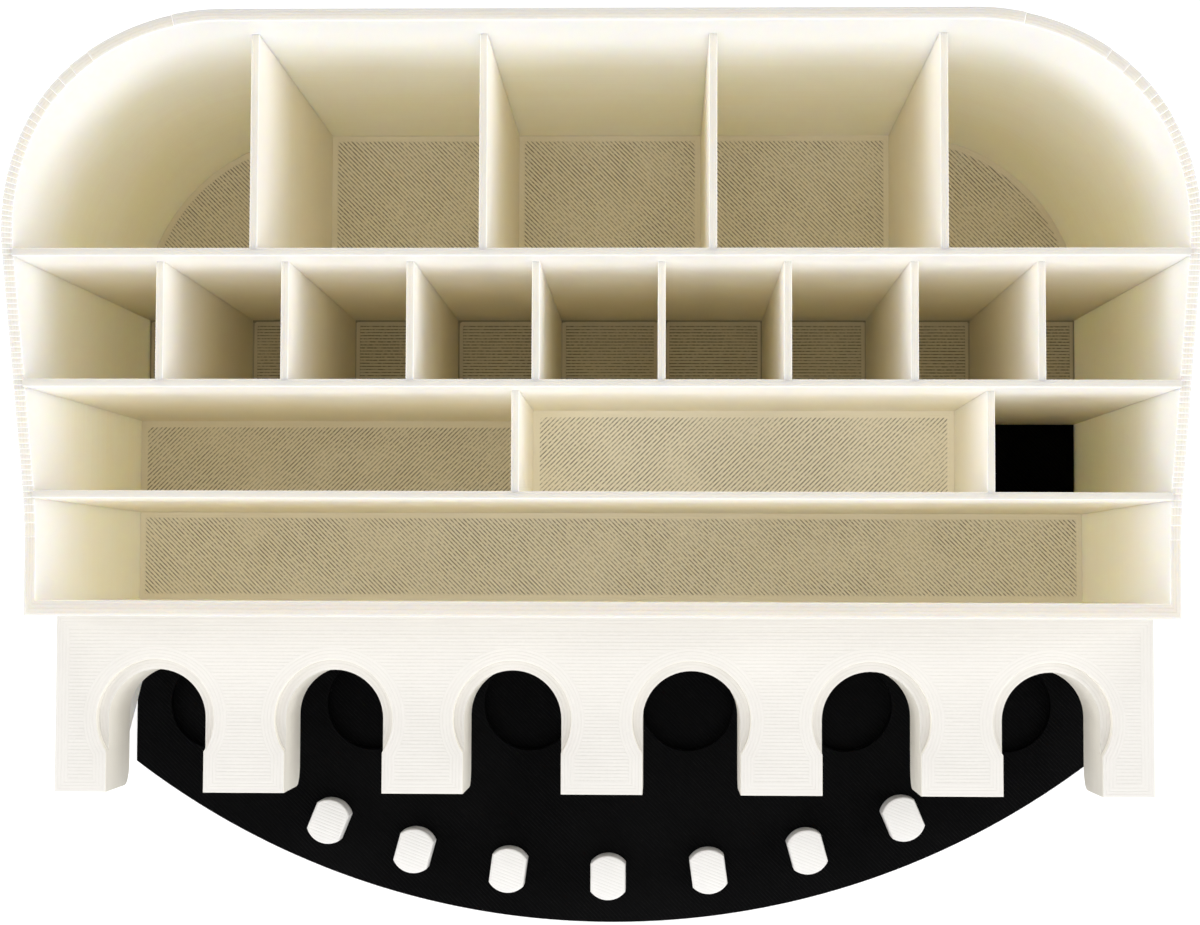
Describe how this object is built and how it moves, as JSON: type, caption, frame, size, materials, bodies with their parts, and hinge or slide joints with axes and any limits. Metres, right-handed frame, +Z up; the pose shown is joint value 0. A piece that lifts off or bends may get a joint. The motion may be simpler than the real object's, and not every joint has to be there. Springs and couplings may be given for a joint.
{
  "type": "workstation organizer",
  "caption": "Desktop organizer: a D-shaped bin with rows of compartments under a sloping rim, a slotted tool rack in front, and a base plate with round recesses and pegs.",
  "frame": {"origin": "middle of the bounding box on the underside of the base plate", "axes": "+X to the right along the width, +Y towards the high rear wall, +Z up"},
  "size_m": [0.3002, 0.244, 0.165],
  "materials": {
    "bin_plastic": "ivory layered print, satin",
    "base_plastic": "black layered print, satin",
    "peg_plastic": "off-white layered print, satin"
  },
  "bodies": {
    "root": {"rear_shell": "bin_plastic", "side_wall_left": "bin_plastic", "side_wall_right": "bin_plastic", "front_wall": "bin_plastic", "cross_wall_rear": "bin_plastic", "cross_wall_middle": "bin_plastic", "cross_wall_front": "bin_plastic", "floor_rear_row": "bin_plastic", "floor_second_row": "bin_plastic", "floor_third_row": "bin_plastic", "raised_floor": "bin_plastic", "floor_front_row": "bin_plastic", "divider_rear_1": "bin_plastic", "divider_rear_2": "bin_plastic", "divider_rear_3": "bin_plastic", "divider_rear_4": "bin_plastic", "divider_second_1": "bin_plastic", "divider_second_2": "bin_plastic", "divider_second_3": "bin_plastic", "divider_second_4": "bin_plastic", "divider_second_5": "bin_plastic", "divider_second_6": "bin_plastic", "divider_second_7": "bin_plastic", "divider_second_8": "bin_plastic", "divider_third_1": "bin_plastic", "divider_third_2": "bin_plastic", "tool_rack": "bin_plastic", "rack_cheek_left": "bin_plastic", "rack_cheek_right": "bin_plastic", "base_plate": "base_plastic", "peg_1": "peg_plastic", "peg_2": "peg_plastic", "peg_3": "peg_plastic", "peg_4": "peg_plastic", "peg_5": "peg_plastic", "peg_6": "peg_plastic", "peg_7": "peg_plastic"}
  },
  "joints": []
}
